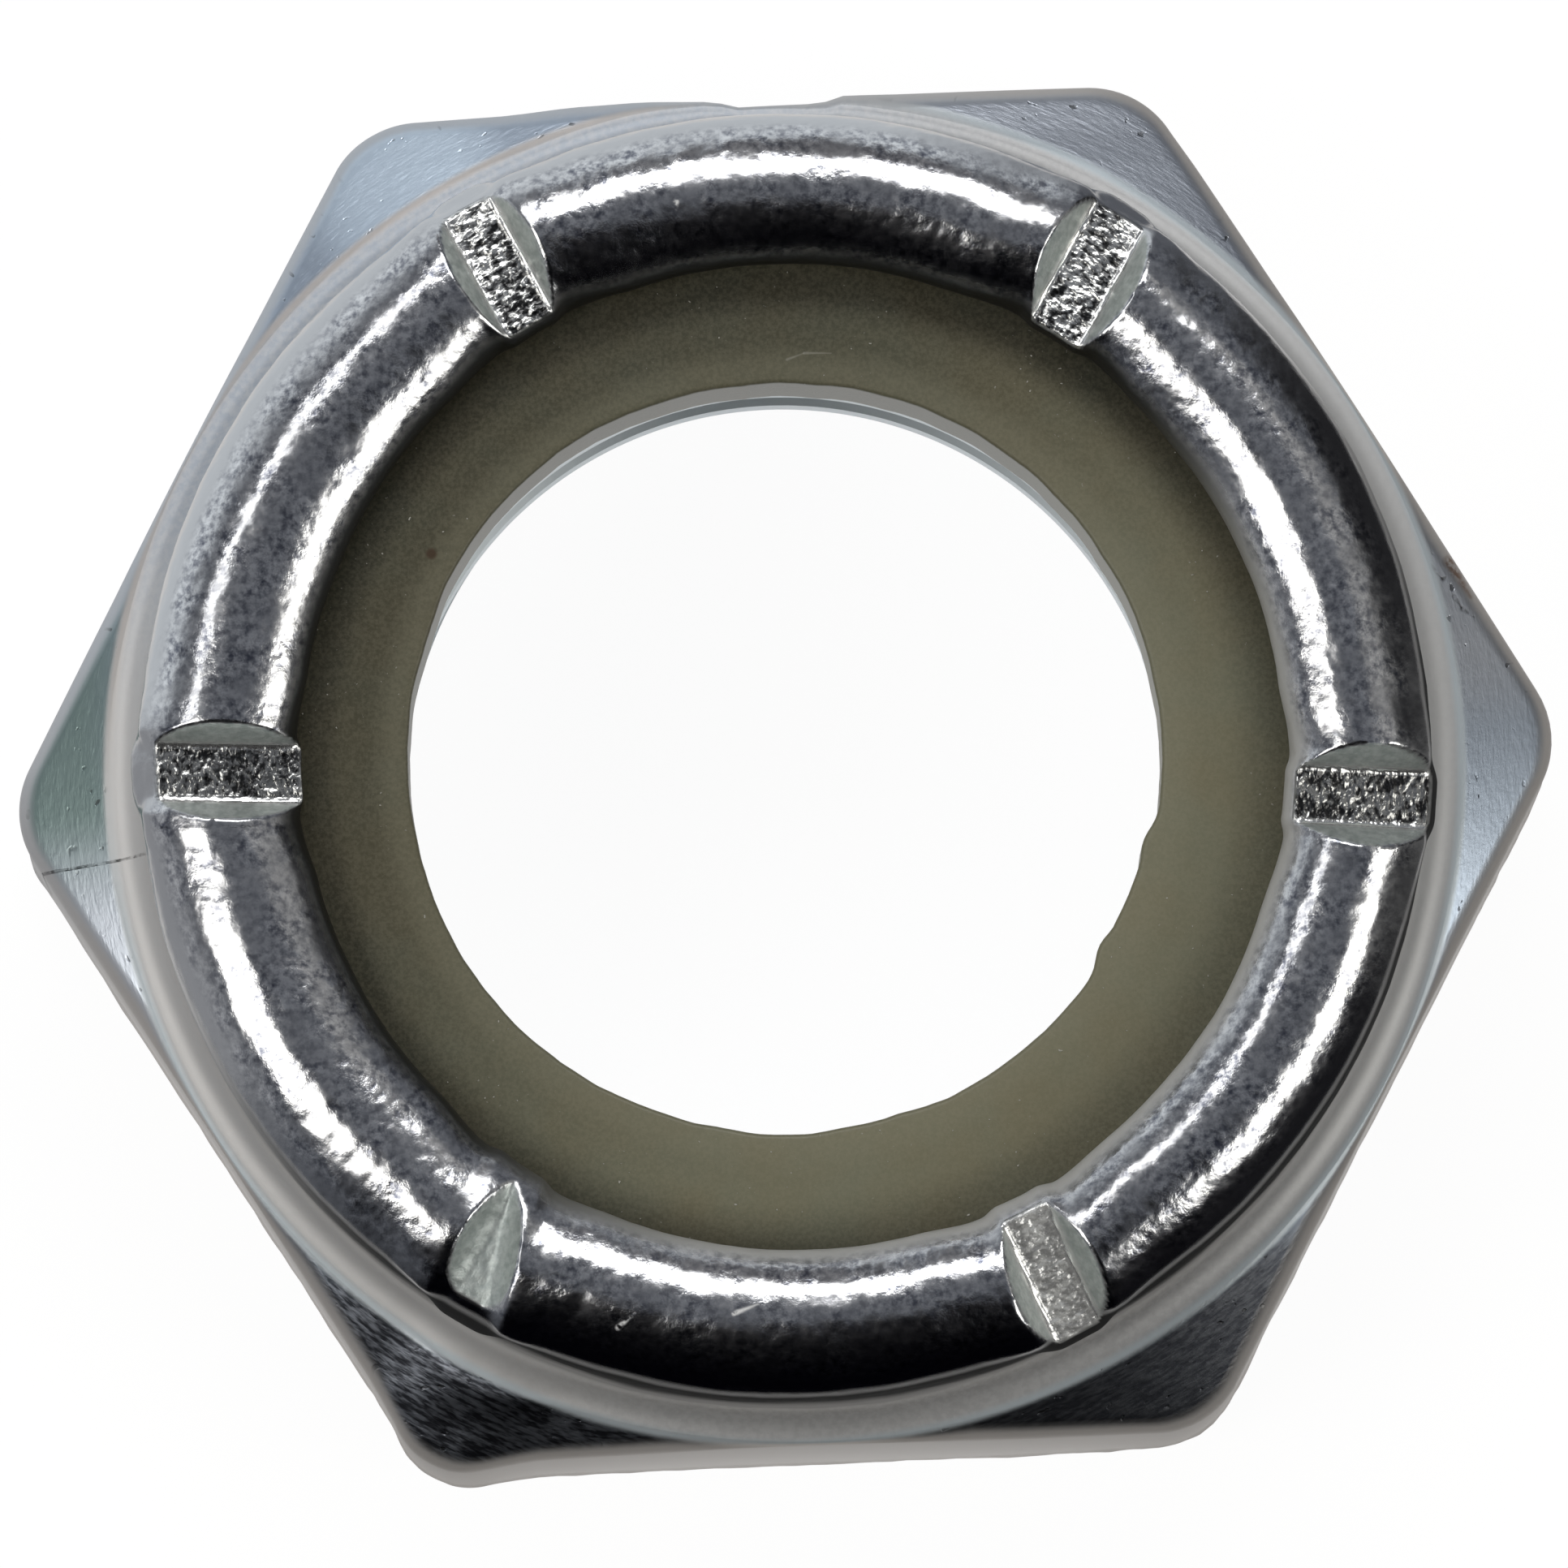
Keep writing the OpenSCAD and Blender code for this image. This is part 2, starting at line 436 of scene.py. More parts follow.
runs = {}
for name, points in section(corner_reach).items():
    start = sum(run.stop - run.start for run in runs.values())
    runs[name] = slice(start, start + len(points))
stations = sum(run.stop - run.start for run in runs.values())
print(f"{stations} points in {len(runs)} runs, from {list(runs)[0]} to {list(runs)[-1]}")

# %% [markdown]
# The chain is drawn as it would be by hand: one vertex, extruded again and again to the next point.
# Spun round the axis it becomes a closed skin. Each vertex remembers its station along the section
# in an attribute, which extruding and spinning copy with it, so that later steps can find it again.

# %% Draw the section and spin it
def draw_chain(name, points):
    """Draws a closed chain of edges through points in mm, given as (r, z)."""
    spots = [Vector((r, 0, z)) * MM for r, z in points]
    bpy.ops.object.select_all(action="DESELECT")
    bpy.ops.mesh.primitive_plane_add(size=MM)
    piece = bpy.context.object
    piece.name = name
    bpy.ops.object.mode_set(mode="EDIT")
    bpy.ops.mesh.merge(type="CENTER")
    bpy.ops.transform.translate(value=spots[0])
    for here, there in zip(spots, spots[1:]):
        bpy.ops.mesh.extrude_vertices_move(TRANSFORM_OT_translate={"value": there - here})
    bpy.ops.object.mode_set(mode="OBJECT")
    piece.data.attributes.new("station", "INT", "POINT").data.foreach_set("value", range(len(spots)))
    for vertex in piece.data.vertices:
        vertex.select = vertex.index in (0, len(spots) - 1)
    bpy.ops.object.mode_set(mode="EDIT")
    bpy.ops.mesh.edge_face_add()
    bpy.ops.object.mode_set(mode="OBJECT")
    return piece


merge_gap = 0.0005 * MM


def spin_chain(piece, steps):
    """Spins a closed chain once round the Z axis and closes the seam."""
    bpy.ops.object.mode_set(mode="EDIT")
    bpy.ops.mesh.select_all(action="SELECT")
    bpy.ops.mesh.spin(steps=steps, angle=2 * math.pi, center=(0, 0, 0), axis=(0, 0, 1))
    bpy.ops.mesh.select_all(action="SELECT")
    bpy.ops.mesh.remove_doubles(threshold=merge_gap)
    bpy.ops.mesh.normals_make_consistent(inside=False)
    bpy.ops.object.mode_set(mode="OBJECT")
    print(f"{piece.name}: {len(piece.data.vertices)} points, {len(piece.data.polygons)} faces")


def read_grid(piece, steps):
    """Says for each vertex which column and which station of the spun grid it is."""
    spots = np.empty(3 * len(piece.data.vertices))
    piece.data.vertices.foreach_get("co", spots)
    x, y, _ = spots.reshape(-1, 3).T
    column = np.round(np.arctan2(y, x) / (2 * math.pi) * steps).astype(int) % steps
    station = np.empty(len(x), int)
    piece.data.attributes["station"].data.foreach_get("value", station)
    return column, station


# %% [markdown]
# Six marks are punched into the crown, one for each corner. Their tool sat a third of a millimetre
# off the nut's axis, so the marks point to the tool's centre and not quite to the nut's. The mesh
# needs close columns there and at the corners, and far fewer along the flats.

# %% Set out the marks and the columns
def to_nut(x, y):
    """Turns a place in the picture's axes into the nut's own."""
    spot = picture_right * x + picture_up * y
    return np.array((spot.x, spot.y))


tool_centre = to_nut(-0.07, -0.35)
tool_turn = -3.9
mark_step = 0.04
mark_span = 0.8


class Mark:
    """One punched mark, with its own small faults. The lean, in degrees above level, is the punch's."""

    def __init__(self, corner, turn, lean, depth, width, twist=0.0, flare=0.0, grain=1.0):
        angle = math.radians(60 * corner + tool_turn + turn)
        self.along = np.array((math.cos(angle), math.sin(angle)))
        self.across = np.array((-math.sin(angle), math.cos(angle)))
        self.lean = math.radians(lean)
        self.depth = depth
        self.width = width
        self.twist = math.radians(twist)
        self.flare = flare
        self.grain = grain
        middle = tool_centre + crown_x * self.along
        self.column_angle = math.degrees(math.atan2(middle[1], middle[0])) % 360


marks = [
    Mark(0, -0.85, 74, 0.58, 0.74),
    Mark(1, -0.55, 86, 0.52, 0.76, twist=3),
    Mark(2, -0.4, 86, 0.46, 0.70),
    Mark(3, 0.3, 96, 0.52, 0.74),
    Mark(4, -0.5, 84, 0.40, 0.52, twist=10, flare=0.35, grain=0.0),
    Mark(5, -0.35, 70, 0.64, 0.64, twist=-4, grain=0.85),
]

fine = np.degrees(np.arange(-mark_span, mark_span + mark_step / 2, mark_step) / crown_x)
corner_end = 4.5
corner_columns = 8
flat_columns = 33
angles = []
for corner, mark in enumerate(marks):
    middle = mark.column_angle if corner else (mark.column_angle + 180) % 360 - 180
    following = marks[corner + 1].column_angle if corner < 5 else marks[0].column_angle
    start, end = middle + fine[-1], 60 * corner + corner_end
    flat_end = following + fine[0]
    angles += list(middle + fine)
    angles += list(np.linspace(start, end, corner_columns)[1:])
    angles += list(np.linspace(end, flat_end, flat_columns)[1:-1])
angles = np.radians(np.array(angles))
columns = len(angles)
print(f"{columns} columns, marks at", [round(mark.column_angle, 1) for mark in marks])

# %% [markdown]
# Forging gives the spun blank its six flats. In mesh terms each column of points takes the section
# that belongs to the reach of the hexagon in its own direction: along a flat that reach follows a
# straight line, and round a corner it follows a small arc.

# %% Press the flats
def reach_at(angle):
    """How far the side of the hexagon lies from the axis in a direction, in mm."""
    off_corner = abs((math.degrees(angle) + 30) % 60 - 30)
    corner_spot = (flat_r - corner_r) / math.cos(math.radians(30))
    arc_end = math.degrees(math.atan2(corner_r / 2, corner_spot + corner_r * math.cos(math.radians(30))))
    turn = math.radians(off_corner)
    if off_corner > arc_end:
        return flat_r / math.cos(math.radians(30) - turn)
    return corner_spot * math.cos(turn) + math.sqrt(corner_r**2 - (corner_spot * math.sin(turn)) ** 2)


skin = np.array([np.vstack(list(section(reach_at(angle)).values())) for angle in angles])
radius, height = skin[..., 0], skin[..., 1]
bearing = np.repeat(angles[:, None], stations, axis=1)
print("reach from", radius.max(axis=1).min().round(3), "to", radius.max().round(3), "mm")

# %% [markdown]
# Under a mark the columns have to run along it and not to the nut's axis, or its straight edges would
# step from one column to the next. Each point of the crown keeps its distance from the axis and
# slides round until it lies on its column's own line, and further from the mark it stays put.

# %% Line the columns up with the marks
def fade(value, start, end):
    """Falls smoothly from 1 at start to 0 at end."""
    share = np.clip((value - start) / (end - start), 0, 1)
    return 1 - share * share * (3 - 2 * share)


on_crown = fade(height, crown_z - 0.2, crown_z - 1.2)
full_slide, no_slide = 6.0, 14.0
for mark in marks:
    off_mark = (np.degrees(angles) - mark.column_angle + 180) % 360 - 180
    side = np.radians(off_mark)[:, None] * crown_x
    start = tool_centre[:, None, None] + mark.across[:, None, None] * side
    level = np.einsum("i,ijk->jk", mark.along, start * np.ones_like(radius))
    square = np.maximum(radius**2 - (start**2).sum(0) + level**2, 0)
    spot = start + mark.along[:, None, None] * (np.sqrt(square) - level)
    slide = np.arctan2(spot[1], spot[0]) - bearing
    slide = (slide + math.pi) % (2 * math.pi) - math.pi
    share = fade(np.abs(off_mark), full_slide, no_slide)[:, None] * on_crown
    near = np.abs(off_mark) < no_slide
    bearing[near] += (slide * share)[near]
print("columns slid by up to", np.degrees(np.abs(bearing - angles[:, None])).max().round(2), "degrees")

# %% [markdown]
# No forged part is as true as its drawing. Smooth noise, read at each point's own place, lifts and
# sinks the skin along its normal: long waves where the collar was rolled over, and shorter ones like
# orange peel. The noise is the same on every run, so the nut is too.

# %% Let the forging wander
def waves(spots, size, offset):
    """Smooth noise from -1 to 1 at each place, with blobs of a size in mm."""
    shift = Vector((offset, 1.7 * offset, -0.6 * offset))
    values = [noise.noise(Vector(spot) / size + shift) for spot in spots.reshape(-1, 3)]
    return np.array(values).reshape(spots.shape[:-1])


def places():
    """The grid's points in mm."""
    return np.stack((radius * np.cos(bearing), radius * np.sin(bearing), height), axis=-1)


on_collar = np.zeros(stations)
on_collar[runs["wall"].start:runs["under"].stop] = 1
on_collar[runs["foot"]] = np.linspace(0, 1, runs["foot"].stop - runs["foot"].start)
on_collar[runs["under"]] = 0.3

spots = places()
lift = 0.022 * waves(spots, 1.3, 3) + 0.010 * waves(spots, 0.45, 11) + 0.005 * waves(spots, 0.2, 23)
lift = on_collar * lift
out_r, out_z = radius - crown_x, height - crown_z
reach = np.hypot(out_r, out_z)
low = height < crown_z
normal_r = np.where(low, np.sign(out_r), out_r / reach)
normal_z = np.where(low, 0, out_z / reach)
radius += lift * normal_r
height += lift * normal_z
print("skin moved by up to", np.abs(lift).max().round(3), "mm")

# %% [markdown]
# The rolling tool ran a little to one side, so the lip reaches further over the nylon on the left of
# the picture than on the right. The list gives, in mm, how far the lip's edge lies from its drawn
# circle in a few directions of the picture, and the crown follows it more and more towards the edge.

# %% Roll the lip unevenly
lip_azimuth = [0, 30, 60, 90, 120, 150, 180, 225, 240, 255, 270, 290, 330, 360]
lip_offset = [0.06, 0.04, 0.00, -0.04, -0.07, -0.13, -0.17, -0.17, -0.10, -0.03, 0.00, 0.05, 0.09, 0.06]
rolled = np.zeros(stations)
crown_angle = np.linspace(0, crown_roll, runs["crown"].stop - runs["crown"].start)
rolled[runs["crown"]] = 1 - fade(crown_angle, 85, crown_roll)
rolled[runs["lip"]] = 1
rolled[runs["under"]] = np.linspace(1, 0, runs["under"].stop - runs["under"].start)
azimuth = (np.degrees(bearing) + math.degrees(picture_turn)) % 360
radius += rolled * np.interp(azimuth, lip_azimuth, lip_offset)
lip_edge = radius[:, runs["lip"]].min(axis=1)
print("lip's edge between", lip_edge.min().round(2), "and", lip_edge.max().round(2), "mm")

# %% [markdown]
# A mark is pressed, not cut: each tooth of the tool came in at its own slight slant and pushed every
# point in its way straight back along its own direction, down to its flat floor or its sloping sides,
# with no sharp edge anywhere. The metal that had to go somewhere swelled beside the mark and at its
# outer end. Hard, worn teeth left grainy floors, and one of them smeared.

# %% Punch the marks
def soften(value, reach):
    """Rises from 0 to the value itself, through a smooth bend as wide as twice the reach."""
    return np.where(value > reach, value, np.maximum(value + reach, 0) ** 2 / (4 * reach))


punch_draft = math.radians(30)
punch_reach = 0.85
entry_bend = 0.05
floor_bend, smeared_bend = 0.06, 0.2
smeared_lumps = 1.6
swell_h = 0.10
pressed = np.zeros_like(radius)
dented = np.zeros_like(radius)
crease = np.zeros_like(radius)
spots = places()
grains = 0.014 * waves(spots, 0.15, 41) + 0.008 * waves(spots, 0.08, 43)
outer_skin = np.zeros(stations, bool)
outer_skin[runs["wall"].start:runs["lip"].start + 6] = True
for mark in marks:
    off_tool = spots[..., :2] - tool_centre
    out, side = off_tool @ mark.along - crown_x, off_tool @ mark.across
    near = outer_skin & (out > -crown_x) & (np.abs(side) < punch_reach)
    out, side = (out * math.cos(mark.twist) + side * math.sin(mark.twist),
                 side * math.cos(mark.twist) - out * math.sin(mark.twist))
    stands = out * math.cos(mark.lean) + (spots[..., 2] - crown_z) * math.sin(mark.lean)
    half = np.clip(mark.width + mark.flare * out, 0.2, 0.9) / 2
    smeared = mark.grain == 0
    rise = soften(np.abs(side) - half, smeared_bend if smeared else floor_bend) / math.tan(punch_draft)
    limit = crown_r - mark.depth + rise
    over = near * soften(stands - limit, entry_bend)
    hit = near * fade(limit - stands, -0.05, 0.02)
    on_floor = hit * fade(np.abs(side) - half, -0.04, 0.03)
    over = over - grains * (smeared_lumps * hit if smeared else mark.grain * on_floor)
    spots[..., :2] -= (over * math.cos(mark.lean))[..., None] * mark.along
    spots[..., 2] -= over * math.sin(mark.lean)
    pressed = np.maximum(pressed, on_floor * mark.grain)
    dented = np.maximum(dented, hit)
    # The band along the edges of a grainy floor is kept, to carry a painted highlight in the finish.
    edge = fade(np.abs(np.abs(side) - half - 0.01), 0.0, 0.07)
    crease = np.maximum(crease, hit * edge * mark.grain)
    beside = (1 - fade(np.abs(side), 0.30, 0.60)) * fade(np.abs(side), 0.60, 1.5)
    swell = swell_h * beside * fade(crown_z + 0.6 - spots[..., 2], 0.0, 0.6)
    outer_end = fade(np.abs(spots[..., 2] - 8.45), 0.1, 0.55) * (out > 0.4)
    swell += swell_h * fade(np.abs(side), 0.25, 0.7) * outer_end
    spots[..., :2] += (swell * (outer_skin & (off_tool @ mark.along > 0)))[..., None] * mark.along
print("pressed points:", int((pressed > 0.5).sum()), "highest point", spots[..., 2].max().round(3))

# %% [markdown]
# The nut has knocked about in a box with others. The upper edge of the far flat has a shallow flat
# dent, and trimming left a thin, ragged burr round the foot of the hexagon. The dies met a twentieth
# of a millimetre off, pressed the far and the near flat a little closer, and filled one corner more.
# All of it is pushed into the grid of points before it becomes a mesh.

# %% Wear the hexagon's edges
across = spots[..., :2] @ to_nut(1, 0)
upward = spots[..., :2] @ to_nut(0, 1)
dent_depth = 0.10
dent = dent_depth * fade(np.abs(across + 0.11), 0.55, 0.95) * fade(hex_h - spots[..., 2], 0.6, 2.5)
dent = dent * np.clip((upward - 9.15) / 0.3, 0, 1) * (spots[..., 2] < hex_h + foot_r)
spots[..., :2] -= dent[..., None] * to_nut(0, 1)

hexagon = np.zeros(stations)
hexagon[runs["bearing_edge"].start:runs["foot"].start] = 1
hexagon[runs["foot"]] = np.linspace(1, 0, runs["foot"].stop - runs["foot"].start)
hexagon[runs["bearing"]] = np.linspace(0, 1, runs["bearing"].stop - runs["bearing"].start)
spots[..., :2] += hexagon[:, None] * to_nut(0.01, -0.05)

above_edge = spots[..., 2] - spots[:, runs["low_edge"].stop - 1, 2][:, None]
ragged = 0.030 + 0.025 * waves(spots * (1, 1, 0), 0.5, 31) + 0.012 * waves(spots * (1, 1, 0), 0.17, 37)
burr = np.exp(-((above_edge - 0.16) / 0.10) ** 2) * ragged
burr[:, runs["high_edge"].start:] = 0
outward = spots[..., :2] / np.linalg.norm(spots[..., :2], axis=-1)[..., None]
off_corner = (np.degrees(angles) - 240 + 180) % 360 - 180
fuller = 0.16 * fade(np.abs(off_corner), 1.0, 8.0)[:, None] * hexagon
spots[..., :2] += (burr + fuller)[..., None] * outward
far_squeeze = 0.03 - 0.06 * fade(np.abs(across + 2.5), 0.3, 1.6)
near_squeeze = np.clip(0.065 - 0.016 * across, 0.01, 0.075)
squeezed = np.where(upward > 0, far_squeeze, near_squeeze)
squeezed = squeezed * hexagon * np.clip((np.abs(upward) - 8.6) / 0.5, 0, 1)
spots[..., :2] -= (squeezed * np.sign(upward))[..., None] * to_nut(0, 1)

rim = np.zeros_like(radius)
rim[:, :runs["high_edge"].start] = 1
high_edge_count = runs["high_edge"].stop - runs["high_edge"].start
rim[:, runs["high_edge"]] = fade(np.linspace(0, 1, high_edge_count), 0.5, 1.0)
print("dent", dent.max().round(3), "mm deep, burr up to", burr.max().round(3), "mm")

# %% [markdown]
# One side of the section is drawn and spun, which gives the mesh its faces, and each of its points
# then moves to its place in the grid. What the finish will ask about a point, such as whether a punch
# touched it, is written on the mesh as attributes.

# %% Shape the nut
nut = draw_chain("steel_nut", skin[0])
spin_chain(nut, columns)
column, station = read_grid(nut, columns)
nut.data.vertices.foreach_set("co", (spots[column, station] * MM).ravel())
for name, values in (("pressed", pressed), ("dented", dented), ("crease", crease), ("rim", rim)):
    nut.data.attributes.new(name, "FLOAT", "POINT").data.foreach_set("value", values[column, station].ravel())
nut.data.update()
bpy.context.view_layer.update()
print("nut spans", [round(side / MM, 2) for side in nut.dimensions])

# %% [markdown]
# The thread is a real helix. A tap is made from one ridge, drawn as a closed outline and carried up
# the axis by a Screw modifier, and a Boolean takes it out of the bore. A coarse half-inch thread has
# 13 turns to the inch and sides that stand at sixty degrees to each other.

# %% Tap the thread
thread_r = 6.35
pitch = 25.4 / 13
overlap = 0.15
crest = pitch / 8
root = crest + 2 * (thread_r - bore_r + overlap) * math.tan(math.radians(30))
tap_turns = 4
tap_start = -0.62 * pitch
ridge = [(bore_r - overlap, tap_start - root / 2), (thread_r, tap_start - crest / 2),
         (thread_r, tap_start + crest / 2), (bore_r - overlap, tap_start + root / 2)]
tap = draw_chain("tap", ridge)
screw = tap.modifiers.new("helix", "SCREW")
screw.axis = "Z"
screw.angle = 2 * math.pi
screw.screw_offset = pitch * MM
screw.iterations = tap_turns
screw.steps = screw.render_steps = 90
bpy.ops.object.modifier_apply(modifier=screw.name)
bpy.ops.object.mode_set(mode="EDIT")
bpy.ops.mesh.select_all(action="SELECT")
bpy.ops.mesh.remove_doubles(threshold=merge_gap)
bpy.ops.mesh.select_all(action="SELECT")
bpy.ops.mesh.fill_holes(sides=0)
bpy.ops.mesh.normals_make_consistent(inside=False)
bpy.ops.object.mode_set(mode="OBJECT")

bpy.ops.object.select_all(action="DESELECT")
nut.select_set(True)
bpy.context.view_layer.objects.active = nut
cut = nut.modifiers.new("thread", "BOOLEAN")
cut.operation = "DIFFERENCE"
cut.solver = "MANIFOLD"
cut.object = tap
bpy.ops.object.modifier_apply(modifier=cut.name)
bpy.data.objects.remove(tap)
nut.data.calc_loop_triangles()
print("tapped nut:", len(nut.data.vertices), "points,", len(nut.data.loop_triangles), "triangles")

# %% [markdown]
# Shade Smooth by Angle keeps the sharp edges of the thread and the marks, and smooths the rest. The
# piece then rides on the frame's only body and stands for the CAD solid, which is hidden.

# %% Hand the nut to the frame
bpy.ops.object.shade_smooth_by_angle(angle=math.radians(42))
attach(nut, "root")
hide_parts("nut_body")
print("nut stands for nut_body")

# %% [markdown]
# The insert is a ring punched from nylon sheet. Only its top and the wall of its hole show. Its
# section is a rectangle, crisp where the punch cut the hole and rounded elsewhere, drawn and spun
# like the nut's, with close stations where it shows.

# %% Draw and spin the nylon ring
insert_r = hole_r["locking_ring"]
ring_r = ring_top.x
ring_columns = 320
corners = [(insert_r, ring_bottom.z), (ring_r, ring_bottom.z), (ring_r, ring_top.z), (insert_r, ring_top.z)]
edges_r = [0.25, 0.25, 0.25, 0.07]
points_between = [6, 4, 30, 14]
ring_edges = [rounded(corners[i - 1], corners[i], corners[(i + 1) % 4], edges_r[i], 7) for i in range(4)]
outline = []
for i, count in enumerate(points_between):
    outline += [*ring_edges[i], *straight(ring_edges[i][-1], ring_edges[(i + 1) % 4][0], count)]
outline = np.array(outline)
ring = draw_chain("nylon_ring", outline)
spin_chain(ring, ring_columns)

# %% [markdown]
# The ring was squeezed by the tools that rolled the lip over it, so its hole isn't quite round and its
# top dips a little beside the lip. The list gives where the hole's edge stands inwards: the azimuth in
# the picture, by how many mm, and how many degrees the place reaches to each side, level and sloping.

# %% Let the nylon give
hole_bumps = [(338, 0.10, 8, 15), (329, 0.04, 0.5, 4), (347, 0.03, 0.5, 4), (284, 0.06, 3, 12),
              (137, -0.05, 12, 25)]
column, station = read_grid(ring, ring_columns)
ring_angle = 2 * math.pi * column / ring_columns
ring_spots = outline[station]
inner = fade(ring_spots[:, 0], insert_r, insert_r + 0.9)
place = np.stack((np.cos(ring_angle), np.sin(ring_angle), 0 * ring_angle), axis=-1) * insert_r
wander = 0.035 * waves(place, 2.6, 5) + 0.016 * waves(place, 0.5, 9) + 0.006 * waves(place, 0.15, 19)
for azimuth, depth, level_end, slope_end in hole_bumps:
    off_bump = (np.degrees(ring_angle) + math.degrees(picture_turn) - azimuth + 180) % 360 - 180
    wander -= depth * fade(np.abs(off_bump), level_end, slope_end)
ring_out = ring_spots[:, 0] + inner * wander
level = np.stack((ring_out * np.cos(ring_angle), ring_out * np.sin(ring_angle), ring_spots[:, 1]), axis=-1)
on_top = fade(ring_top.z - ring_spots[:, 1], 0.0, 0.5)
level[:, 2] += on_top * (0.010 * waves(level, 0.9, 14) - 0.02)
ring.data.vertices.foreach_set("co", (level * MM).ravel())
ring.data.update()
bpy.ops.object.shade_smooth_by_angle(angle=math.radians(42))
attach(ring, "root")
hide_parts("nylon_insert")
print("ring spans", [round(side / MM, 2) for side in ring.dimensions])

# %% [markdown]
# Zinc plating is a metal with hardly any colour. The rolled crown was rubbed bright by its tool and
# is dimpled like orange peel. The hexagon and the collar's foot keep the satin of the plating bath,
# with faint green and blue tints. Roughness and bump follow the same masks as the colour.

# %% Plate the nut with zinc
def new_finish(name):
    """A new material and the builder of its nodes."""
    material = bpy.data.materials.new(name)
    material.use_nodes = True
    return material, Finish(material.node_tree)


def place_mm(finish):
    """The object's own coordinates in mm."""
    spot = finish.node("ShaderNodeTexCoord", {}, out=3)
    return finish.node("ShaderNodeVectorMath", {"operation": "SCALE"}, spot, Scale=1 / MM)


def part_of(finish, vector):
    """The three numbers of a vector."""
    outputs = finish.node("ShaderNodeSeparateXYZ", {}, vector).socket.node.outputs
    return [Wire(finish, socket) for socket in outputs]


def around(finish, x, y, rise):
    """Coordinates that run round the axis in mm, so that noise on them makes turned streaks."""
    ray = finish.node("ShaderNodeCombineXYZ", {}, x, y, 0.0)
    ray = finish.node("ShaderNodeVectorMath", {"operation": "NORMALIZE"}, ray)
    ray = finish.node("ShaderNodeVectorMath", {"operation": "SCALE"}, ray, Scale=flat_r)
    lifted = finish.node("ShaderNodeCombineXYZ", {}, 0.0, 0.0, rise)
    return finish.node("ShaderNodeVectorMath", {}, ray, lifted)


def attribute(finish, name):
    """A number that was written on the mesh's points."""
    return finish.node("ShaderNodeAttribute", {"attribute_name": name}, out=2)


def stroke(finish, x, y, start, end, width):
    """1 on a scratch that tapers from one place to another, in mm along the picture's axes."""
    start, end = to_nut(*start), to_nut(*end)
    run = end - start
    right, up = x - start[0], y - start[1]
    share = finish.node("ShaderNodeClamp", {}, (right * run[0] + up * run[1]) / (run @ run), 0.0, 1.0)
    off_line = ((right - share * run[0]) ** 2 + (up - share * run[1]) ** 2) ** 0.5
    return 1 - finish.step(off_line + share * (0.5 * width), 0.2 * width, width)


def strokes(finish, x, y, lines, width):
    """1 on any of several scratches."""
    return sum(stroke(finish, x, y, start, end, width) for start, end in lines)


zinc, plate = new_finish("zinc")
place = place_mm(plate)
x, y, z = part_of(plate, place)
off_axis = (x * x + y * y) ** 0.5
floor, dent, highlight_crease_line = (attribute(plate, name) for name in ("pressed", "dented", "crease"))
collar = plate.step(z, 6.9, 7.6)
inside = collar * (1 - plate.step(off_axis, 7.2, 7.7))
bright = plate.step(plate.step(z, 8.35, 8.85) + inside, 0.0, 1.0)
top = plate.step(z, 9.15, 9.40) * (1 - inside) + inside
bore = (1 - plate.step(off_axis, 6.5, 6.9)) * (1 - plate.step(z, 6.2, 6.5))
side = attribute(plate, "rim") * (1 - collar)
hexagon_zone = (1 - collar) * (1 - bore)
past_shoulder = plate.step(off_axis, shoulder_r + 0.02, shoulder_r + 0.12)
chamfer = hexagon_zone * past_shoulder * (1 - side)
foot = hexagon_zone * (1 - past_shoulder) * plate.step(z, 6.2, 6.4)
lip = inside * (1 - plate.step(z, 9.22, 9.50)) * (1 - dent)
print("zones of the nut: crown, inside of the lip, foot, chamfer, side, bore")

# %% [markdown]
# Each zone then gets its own grain, at the size that the photograph shows: lumps like orange peel and
# small dark spots on the crown, hard grains on the floors of the marks, and streaks that run round
# the chamfers, with short dark pits in patches. They lift the surface by hundredths of a millimetre.
# The scratches, the chips and the brown edge that stand out are strokes, in mm along the picture's
# axes, and noise breaks them up. The chips are painted white and matt, a painted glint.

# %% Give each zone its grain
peel = plate.grain(place, 0.26, 1.0, 0.45)
mottle = plate.grain(place, 0.12, 3.0, 0.62)
patchy = plate.grain(place, 0.50, 2.0, 0.5)
turned = around(plate, x, y, off_axis * 1.8)
grit = plate.grain(turned, 0.20, 1.0, 0.5)
speck = plate.grain(turned, 0.14, 2.0, 0.5)
satin = plate.grain(place, 0.10, 3.0, 0.6)
streak = plate.grain(around(plate, x, y, off_axis * 5), 0.26, 2.0, 0.6)
pit_row = plate.grain(around(plate, x, y, off_axis * 3.5 + z * 3.5), 0.16, 1.0, 0.5)
pits = chamfer * plate.step(pit_row, 0.66, 0.72) * plate.step(patchy, 0.52, 0.62)

scratches = [((9.08, 2.84), (9.24, 2.67)), ((9.24, 2.67), (9.37, 2.74)),
             ((9.41, 2.43), (9.52, 2.26)), ((9.52, 2.26), (9.69, 2.15))]
broken = plate.step(speck, 0.36, 0.56)
scratch = strokes(plate, x, y, scratches, 0.055) * broken * chamfer
# Painted glints: small nicks on the crown painted white and matt.
chip_glints = [((-2.31, -8.01), (-2.08, -7.81)), ((-0.70, -7.82), (-0.37, -7.69)), ((-1.51, 7.67), (-1.51, 7.55))]
chip_glint = strokes(plate, x, y, chip_glints, 0.06) * bright * broken
rust = stroke(plate, x, y, (9.33, 2.92), (9.64, 2.43), 0.13) * plate.step(mottle, 0.30, 0.60)
rust = rust * plate.step(z, 5.3, 5.9)

